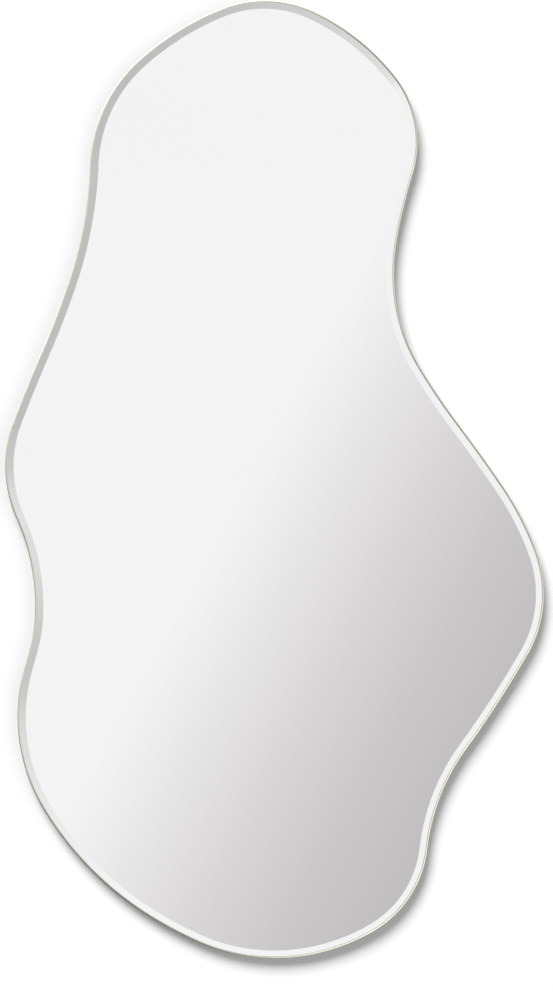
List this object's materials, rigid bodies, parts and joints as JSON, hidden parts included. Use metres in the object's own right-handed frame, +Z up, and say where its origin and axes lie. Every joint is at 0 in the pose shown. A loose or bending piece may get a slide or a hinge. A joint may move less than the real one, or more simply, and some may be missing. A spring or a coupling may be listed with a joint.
{
  "type": "wall mirror",
  "caption": "Tall free-form wall mirror with a narrow bevel all round and a thin brass edge band, on a board with strap hangers and wall bumpers.",
  "frame": {"origin": "on the wall plane, midway between the two points where hooks hold the raised rings", "axes": "+X to the right seen from the front, +Y into the wall, +Z up; the mirror faces -Y"},
  "size_m": [1.0117, 0.0272, 1.7995],
  "materials": {
    "mirror": "silvered float glass, polished bevel",
    "film": "thin safety film",
    "tape": "closed-cell foam, both faces sticky",
    "board": "fibreboard, sealed matt black",
    "band": "fine brushed, pale and a little grey",
    "splice": "raw strip",
    "lug": "zinc plated",
    "machine_screw": "plain",
    "wood_screw": "zinc plated",
    "strap": "zinc plated",
    "ring": "nickel plated",
    "bumper": "moulded, matt"
  },
  "bodies": {
    "mirror_body": {"back_board": "board", "band_lower_left": "band", "band_lower_right": "band", "band_upper_left": "band", "band_upper_right": "band", "foam_tape_1": "tape", "foam_tape_2": "tape", "foam_tape_3": "tape", "foam_tape_4": "tape", "foam_tape_5": "tape", "foam_tape_6": "tape", "frame_lug_1": "lug", "frame_lug_2": "lug", "frame_lug_3": "lug", "frame_lug_4": "lug", "frame_lug_5": "lug", "frame_lug_6": "lug", "frame_lug_7": "lug", "frame_lug_8": "lug", "hanger_screws": "wood_screw", "hanger_strap_left": "strap", "hanger_strap_right": "strap", "lug_screws": "wood_screw", "mirror_glass": "mirror", "splice_plate_bottom": "splice", "splice_plate_top": "splice", "splice_screws": "machine_screw", "splinter_film": "film", "wall_bumper_bottom_left": "bumper", "wall_bumper_bottom_right": "bumper", "wall_bumper_top_left": "bumper", "wall_bumper_top_right": "bumper"},
    "d_ring_left": {"d_ring_left": "ring"},
    "d_ring_right": {"d_ring_right": "ring"}
  },
  "joints": [
    {"name": "ring_swing_left", "type": "hinge", "parent": "mirror_body", "child": "d_ring_left", "pos_m": [-0.2, -0.0082, -0.022], "axis": [1, 0, 0], "range_deg": [0, 180]},
    {"name": "ring_swing_right", "type": "hinge", "parent": "mirror_body", "child": "d_ring_right", "pos_m": [0.2, -0.0082, -0.022], "axis": [1, 0, 0], "range_deg": [0, 180]}
  ]
}
